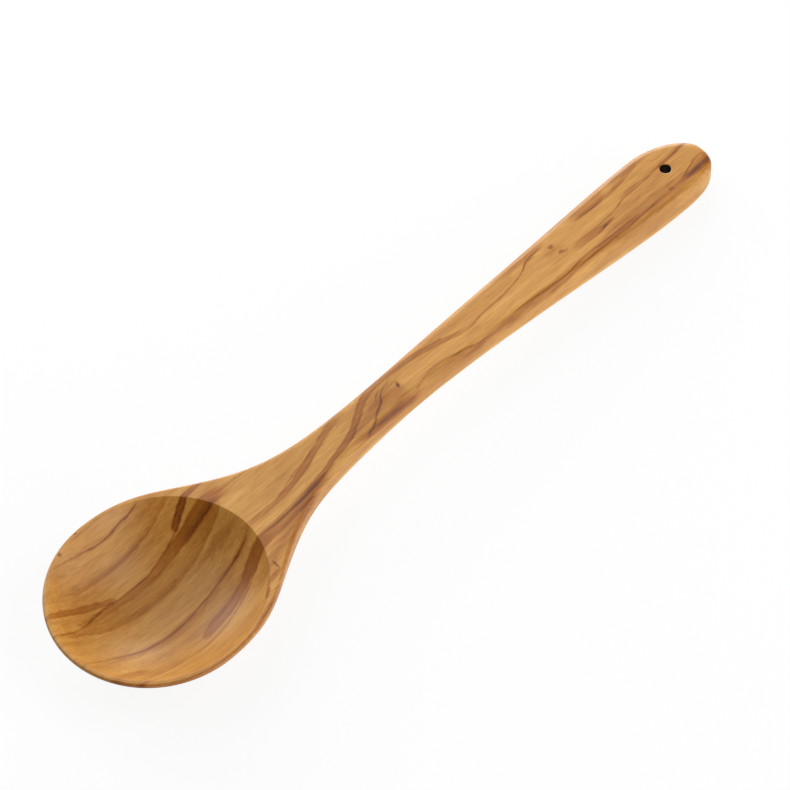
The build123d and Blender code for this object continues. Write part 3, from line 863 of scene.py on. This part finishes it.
def streak_marks(tree, along, across, streaks, dark):
    """Adds the darkness of streaks: a track's curves say where it is, how wide and how dark."""
    for kind, points in tracks(streaks):
        lines = add(tree, "ShaderNodeRGBCurve", 1.0, along).node
        lines.mapping.extend = "HORIZONTAL"
        for curve, values in zip(
            lines.mapping.curves,
            (
                [(x / LENGTH_RANGE, y / ACROSS_RANGE + 0.5) for x, y, wide, much in points],
                [(x / LENGTH_RANGE, wide / WIDTH_RANGE) for x, y, wide, much in points],
                [(x / LENGTH_RANGE, much) for x, y, wide, much in points],
            ),
        ):
            set_curve(curve, values)
        lines.mapping.update()
        lines = add(tree, "ShaderNodeSeparateColor", lines.outputs[0]).node.outputs
        off = add(tree, "ShaderNodeMath", across, lines["Red"], operation="SUBTRACT")
        off = add(tree, "ShaderNodeMath", off, lines["Green"], operation="DIVIDE")
        off = add(
            tree, "ShaderNodeMath", off, ACROSS_RANGE / WIDTH_RANGE / 2, 0.5,
            operation="MULTIPLY_ADD",
        )
        mark = add(tree, "ShaderNodeValToRGB", off)
        mark.node.color_ramp.interpolation = "EASE"
        set_ramp(mark.node.color_ramp, STREAK_KINDS[kind])
        dark = add(tree, "ShaderNodeMath", mark, lines["Blue"], dark, operation="MULTIPLY_ADD")
    return dark


def olive_wood(material, scene, tilt, shift):
    """Oiled olive wood: hand-carved, sanded and rubbed with oil.

    It gives the eye warm honey wood with dark brown streaks that wander along the grain, close
    into almonds round small knots, and a satin sheen that lightens where it faces the window.
    Shade is painted into its colour in a band along the bowl's near rim and inside the hanging hole.
    """
    wood = scene.spoon_wood
    sizes = scene.spoon_sizes
    material.use_nodes = True
    tree = material.node_tree
    shader = tree.nodes["Principled BSDF"]

    # The wood is solid: its figure runs through it, so it is drawn in the blank's own place
    home = -(Matrix.Rotation(-tilt, 3, "Y") @ shift) / MM
    body = add(tree, "ShaderNodeTexCoord", out=3)
    body = add(tree, "ShaderNodeMapping", body, tuple(home), (0, -tilt, 0), (1 / MM,) * 3)

    def ripples(source, scale, detail, roughness=0.5, start=(0, 0, 0)):
        """Noise stretched to a grain of the given millimetres along, across and down."""
        scale = tuple(1 / mm for mm in scale)
        stretched = add(tree, "ShaderNodeMapping", source, start, None, scale)
        return add(
            tree, "ShaderNodeTexNoise", stretched, None, 1.0, detail, roughness,
            noise_dimensions="3D",
        )

    # Rings lean under the top face, and fibres wander, so every streak has a feathered edge
    split = add(tree, "ShaderNodeSeparateXYZ", body).node.outputs
    deep = add(
        tree, "ShaderNodeAttribute", out=2, attribute_name="below_top", attribute_type="GEOMETRY"
    )
    across = add(
        tree, "ShaderNodeMath", deep, -RING_LEAN / MM, split["Y"], operation="MULTIPLY_ADD"
    )
    for scale, much in WANDERS:
        wander = add(tree, "ShaderNodeMath", ripples(body, scale, 1.0), -0.5, operation="ADD")
        across = add(tree, "ShaderNodeMath", wander, much, across, operation="MULTIPLY_ADD")
    place = add(tree, "ShaderNodeMath", across, 1 / ACROSS_RANGE, 0.5, operation="MULTIPLY_ADD")
    along = add(tree, "ShaderNodeMath", split["X"], 1 / LENGTH_RANGE, operation="MULTIPLY")
    dark = streak_marks(tree, along, place, STREAKS, 0.0)
    pale = streak_marks(tree, along, place, SAPWOOD, 0.0)

    # Small knots: dark cores with a soft border. The hanging hole's wall: painted shade, near black, with
    # a soft border
    flat = add(tree, "ShaderNodeCombineXYZ", split["X"], across, 0.0)
    for x, y, long, wide, turn, much in KNOTS:
        knot = add(
            tree, "ShaderNodeMapping", flat, (x, y, 0), (0, 0, radians(turn)), (long, wide, 1),
            vector_type="TEXTURE",
        )
        knot = add(tree, "ShaderNodeVectorMath", knot, operation="LENGTH", out=1)
        knot = add(tree, "ShaderNodeValToRGB", knot)
        set_ramp(knot.node.color_ramp, KNOT_EDGE)
        knot.node.color_ramp.interpolation = "EASE"
        dark = add(tree, "ShaderNodeMath", knot, much, dark, operation="MULTIPLY_ADD")
    hole = sizes.hole_width / 2 / MM
    hole_at = (sizes.overall_length - sizes.hole_from_end) / MM
    # Where the painted shade inside the hanging hole lies
    hole_shade = add(tree, "ShaderNodeCombineXYZ", split["X"], split["Y"], 0.0)
    hole_shade = add(
        tree, "ShaderNodeMapping", hole_shade, (hole_at, sizes.hole_offset / MM, 0), None,
        (hole, hole, 1), vector_type="TEXTURE",
    )
    hole_shade = add(tree, "ShaderNodeVectorMath", hole_shade, operation="LENGTH", out=1)
    hole_shade = add(tree, "ShaderNodeMapRange", hole_shade, *HOLE_SHADE_EDGE, 0.0, 1.0)

    # Wood between the streaks: broad zones, growth lines with one sharp side, fibres
    grained = add(tree, "ShaderNodeCombineXYZ", split["X"], across, split["Z"])
    zones = ripples(grained, *ZONES)
    bands = ripples(grained, *BANDS)
    fibre = wood.grain / MM
    fibres = ripples(grained, (FIBRE_LENGTH, fibre, FIBRE_DEPTH * fibre), *FIBRES)
    rings = add(tree, "ShaderNodeMath", zones, RING_COUNT, operation="MULTIPLY")
    rings = add(tree, "ShaderNodeMath", rings, operation="FRACT")
    rings = add(tree, "ShaderNodeValToRGB", rings)
    set_ramp(rings.node.color_ramp, RING_EDGE)
    tone = add(tree, "ShaderNodeMath", bands, BAND_SHARE, operation="MULTIPLY")
    tone = add(tree, "ShaderNodeMath", zones, ZONE_SHARE, tone, operation="MULTIPLY_ADD")
    tone = add(tree, "ShaderNodeMath", fibres, FIBRE_SHARE, tone, operation="MULTIPLY_ADD")
    ground = add(tree, "ShaderNodeValToRGB", tone)
    shades = (tuple(shade) for shade in (wood.pale, wood.honey, wood.tan))
    set_ramp(ground.node.color_ramp, tuple(zip(TONE_STOPS, shades)))
    pale = add(tree, "ShaderNodeMath", pale, SAP_SHARE, operation="MULTIPLY")
    ground = add(
        tree, "ShaderNodeMix", pale, None, None, None, None, None, ground, (*wood.sap, 1),
        data_type="RGBA", out=2,
    )
    dark = add(tree, "ShaderNodeMath", rings, RING_DARKNESS, dark, operation="MULTIPLY_ADD")
    speck = add(tree, "ShaderNodeMath", fibres, -0.5, operation="ADD")
    dark = add(
        tree, "ShaderNodeMath", speck, FIBRE_DARKNESS, dark,
        operation="MULTIPLY_ADD", use_clamp=True,
    )
    # The streaks' darkness, with the painted shade band along the near rim, darkens the wood
    stain_and_shade = add(tree, "ShaderNodeValToRGB", dark)
    stops = ((0.0, 1.0), (0.5, tuple(wood.brown)), (1.0, tuple(wood.dark)))
    set_ramp(stain_and_shade.node.color_ramp, stops)
    stained_and_shaded = add(
        tree, "ShaderNodeMix", 1.0, None, None, None, None, None, ground, stain_and_shade,
        data_type="RGBA", blend_type="MULTIPLY", out=2,
    )
    # Painted shade: the hole's wall takes the near-black hole shade colour
    stained_and_shaded = add(
        tree, "ShaderNodeMix", hole_shade, None, None, None, None, None, stained_and_shaded,
        (*wood.hole_shade, 1), data_type="RGBA", out=2,
    )
    tree.links.new(stained_and_shaded, shader.inputs["Base Color"])
    shader.inputs["Roughness"].default_value = wood.roughness
    shader.inputs["IOR"].default_value = OIL_IOR
    height = add(tree, "ShaderNodeMath", fibres, RELIEF_SHARE, operation="MULTIPLY")
    bump = add(tree, "ShaderNodeBump", RELIEF_STRENGTH, FIBRE_RELIEF, None, height)
    tree.links.new(bump, shader.inputs["Normal"])


class SPOON_OT_carve(bpy.types.Operator):
    """Carve the spoon from one flat blank and oil its wood"""

    bl_idname = "spoon.carve"
    bl_label = "Carve the spoon"

    def execute(self, context):
        sizes = context.scene.spoon_sizes
        profile = Profile(sizes)
        blank = bpy.data.objects.new("spoon_blank", Blank(profile).make())
        context.collection.objects.link(blank)
        tree = carving_tree()
        carve = blank.modifiers.new("carve", "NODES")
        carve.node_group = tree
        up = frame["record"]["mounts"][0]["axis"]
        tilt = atan2(up[0], up[2])
        material = bpy.data.materials.new("oiled_olive_wood")
        worth = {name: getattr(sizes, size) for name, size in CARVING_INPUTS}
        worth["Hollow depth"] = profile.hollow_depth
        worth["Hollow half width"] = profile.hollow_half
        worth["Hollow middle"] = profile.hollow_at
        worth["Rest tilt"] = tilt
        worth["Wood"] = material
        for item in tree.interface.items_tree:
            if item.in_out == "INPUT" and item.name in worth:
                carve[item.identifier] = worth[item.name]
        context.view_layer.update()
        seen = blank.evaluated_get(context.evaluated_depsgraph_get())
        mesh = bpy.data.meshes.new_from_object(seen)
        bpy.data.objects.remove(blank)
        low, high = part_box(NODE)
        place = np.empty(len(mesh.vertices) * 3)
        mesh.vertices.foreach_get("co", place)
        place = place.reshape(-1, 3)
        middle_x = (place[:, 0].min() + place[:, 0].max()) / 2
        shift = Vector(((low.x + high.x) / 2 - middle_x, 0, low.z - place[:, 2].min()))
        mesh.transform(Matrix.Translation(shift))
        for name in [layer.name for layer in mesh.attributes if layer.name in BLANK_FACTS]:
            mesh.attributes.remove(mesh.attributes[name])
        mesh.name = "carved_spoon"
        olive_wood(material, context.scene, tilt, shift)
        spoon = bpy.data.objects.new("carved_spoon", mesh)
        context.collection.objects.link(spoon)
        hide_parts(NODE)
        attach(spoon, BODY)
        return {"FINISHED"}


# Soft lamps on all sides of the spoon, most of them low: name, place in metres, power in watts
LAMPS = (
    ("left_window_lamp", (0.0, 1.15, 0.34), 8.7),
    ("back_window_lamp", (0.83, 0.83, 0.30), 9.2),
    ("left_ceiling_lamp", (-0.34, 0.60, 0.98), 2.3),
    ("back_ceiling_lamp", (0.34, 0.60, 0.98), 2.8),
    ("right_ceiling_lamp", (0.34, -0.60, 0.98), 4.6),
    ("right_low_lamp", (0.0, -1.17, 0.30), 6.5),
    ("right_back_lamp", (0.83, -0.83, 0.30), 4.3),
)
CARD_ROUGHNESS, CARD_SHEEN = 0.9, 0.2
SENSOR_WIDTH = 36.0      # millimetres
CLIP_NEAR, CLIP_FAR = 0.01, 50.0


class StudioSettings(bpy.types.PropertyGroup):
    """Camera, lamps and floor."""

    camera_at: FloatVectorProperty(
        name="Camera place", description="Where the camera stands", subtype="XYZ", unit="LENGTH",
        precision=5, default=(-0.58719, -0.64859, 1.27922),
    )
    camera_aim: FloatVectorProperty(
        name="Camera aim", description="Point of the floor in the middle of the picture",
        subtype="XYZ", unit="LENGTH", precision=5, default=(0.006188, 0.008347, 0.0),
    )
    camera_roll: FloatProperty(
        name="Camera roll", description="Turn of the picture", default=radians(-4.024),
        subtype="ANGLE",
    )
    camera_lens: FloatProperty(
        name="Focal length", description="On a 36 mm sensor", default=208.32, unit="CAMERA"
    )
    lamp_width: length("Lamp width", "Width of each soft lamp", 600)
    surroundings: share("Surroundings", "Strength of the white light from all around", 0.08)
    floor_width: length("Floor width", "Side of the square floor", 6000)
    card: colour("Card", "Colour of the floor's card", "f4f4f4")
    card_glow: share("Card glow", "How far the floor shows as pure white instead of lit card", 0.9)


def facing(place, aim, roll=0.0):
    """Matrix of a camera or lamp at a place that looks at a point."""
    ahead = (aim - place).normalized()
    right = ahead.cross(Vector((0, 0, 1))).normalized()
    up = right.cross(ahead)
    turned = Matrix((right, up, -ahead)).transposed().to_4x4()
    return Matrix.Translation(place) @ turned @ Matrix.Rotation(roll, 4, "Z")


def white_card(studio):
    """White card: smooth matt paper.

    It gives the eye an even white ground on which only a faint soft shadow of the spoon shows.
    """
    material = bpy.data.materials.new("matt_white_card")
    material.use_nodes = True
    tree = material.node_tree
    shader = tree.nodes["Principled BSDF"]
    shader.inputs["Base Color"].default_value = (*studio.card, 1)
    shader.inputs["Roughness"].default_value = CARD_ROUGHNESS
    shader.inputs["Specular IOR Level"].default_value = CARD_SHEEN
    path = tree.nodes.new("ShaderNodeLightPath").outputs
    seen = add(
        tree, "ShaderNodeMath", path["Is Camera Ray"], path["Is Glossy Ray"], operation="ADD"
    )
    seen = add(tree, "ShaderNodeMath", seen, path["Is Transmission Ray"], operation="ADD")
    seen = add(
        tree, "ShaderNodeMath", seen, studio.card_glow, operation="MULTIPLY", use_clamp=True
    )
    white = add(tree, "ShaderNodeEmission", (1, 1, 1, 1), 1.0)
    ground = add(tree, "ShaderNodeMixShader", seen, shader.outputs["BSDF"], white)
    tree.links.new(ground, tree.nodes["Material Output"].inputs["Surface"])
    return material


def area_lamp(context, name, place, width, power):
    """A square white lamp that looks at the spoon."""
    lamp = bpy.data.lights.new(name, "AREA")
    lamp.size = width
    lamp.energy = power
    stand = bpy.data.objects.new(name, lamp)
    stand.matrix_world = facing(Vector(place), Vector((0, 0, 0)))
    context.collection.objects.link(stand)


class SPOON_OT_studio(bpy.types.Operator):
    """Set the pale floor, the soft lamps, the plain white surroundings and the camera"""

    bl_idname = "spoon.studio"
    bl_label = "Set the studio"

    def execute(self, context):
        scene = context.scene
        studio = scene.spoon_studio
        half = studio.floor_width / 2
        corners = [(-half, -half, 0), (half, -half, 0), (half, half, 0), (-half, half, 0)]
        mesh = bpy.data.meshes.new("floor")
        mesh.from_pydata(corners, [], [(0, 1, 2, 3)])
        mesh.materials.append(white_card(studio))
        floor = bpy.data.objects.new("floor", mesh)
        context.collection.objects.link(floor)

        world = bpy.data.worlds.new("white_surroundings")
        world.use_nodes = True
        background = world.node_tree.nodes["Background"]
        background.inputs["Color"].default_value = (1, 1, 1, 1)
        background.inputs["Strength"].default_value = studio.surroundings
        scene.world = world
        for name, place, power in LAMPS:
            area_lamp(context, name, place, studio.lamp_width, power)

        camera = bpy.data.cameras.new("camera")
        camera.lens = studio.camera_lens
        camera.sensor_width = SENSOR_WIDTH
        camera.clip_start, camera.clip_end = CLIP_NEAR, CLIP_FAR
        stand = bpy.data.objects.new("camera", camera)
        stand.matrix_world = facing(
            Vector(studio.camera_at), Vector(studio.camera_aim), studio.camera_roll
        )
        context.collection.objects.link(stand)
        scene.camera = stand
        scene.view_settings.view_transform = "Standard"
        return {"FINISHED"}


class SPOON_PT_panel(bpy.types.Panel):
    """Lists the steps with their sizes and colours"""

    bl_idname = "SPOON_PT_panel"
    bl_label = "Serving spoon"
    bl_space_type = "VIEW_3D"
    bl_region_type = "UI"
    bl_category = "Spoon"

    def draw(self, context):
        scene = context.scene
        for step, groups in (
            (SPOON_OT_carve, (scene.spoon_sizes, scene.spoon_wood)),
            (SPOON_OT_studio, (scene.spoon_studio,)),
        ):
            self.layout.operator(step.bl_idname)
            for group in groups:
                for name in type(group).__annotations__:
                    self.layout.prop(group, name)


CLASSES = (SpoonSizes, WoodColours, StudioSettings, SPOON_OT_carve, SPOON_OT_studio, SPOON_PT_panel)


def register():
    """Adds the classes and gives the scene its settings."""
    for entry in CLASSES:
        bpy.utils.register_class(entry)
    bpy.types.Scene.spoon_sizes = PointerProperty(type=SpoonSizes)
    bpy.types.Scene.spoon_wood = PointerProperty(type=WoodColours)
    bpy.types.Scene.spoon_studio = PointerProperty(type=StudioSettings)


def unregister():
    """Takes the settings and the classes away again."""
    del bpy.types.Scene.spoon_studio
    del bpy.types.Scene.spoon_wood
    del bpy.types.Scene.spoon_sizes
    for entry in reversed(CLASSES):
        bpy.utils.unregister_class(entry)


def main():
    """Makes the spoon and its studio."""
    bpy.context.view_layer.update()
    register()
    bpy.ops.spoon.carve()
    bpy.ops.spoon.studio()


if __name__ == "__main__":
    main()
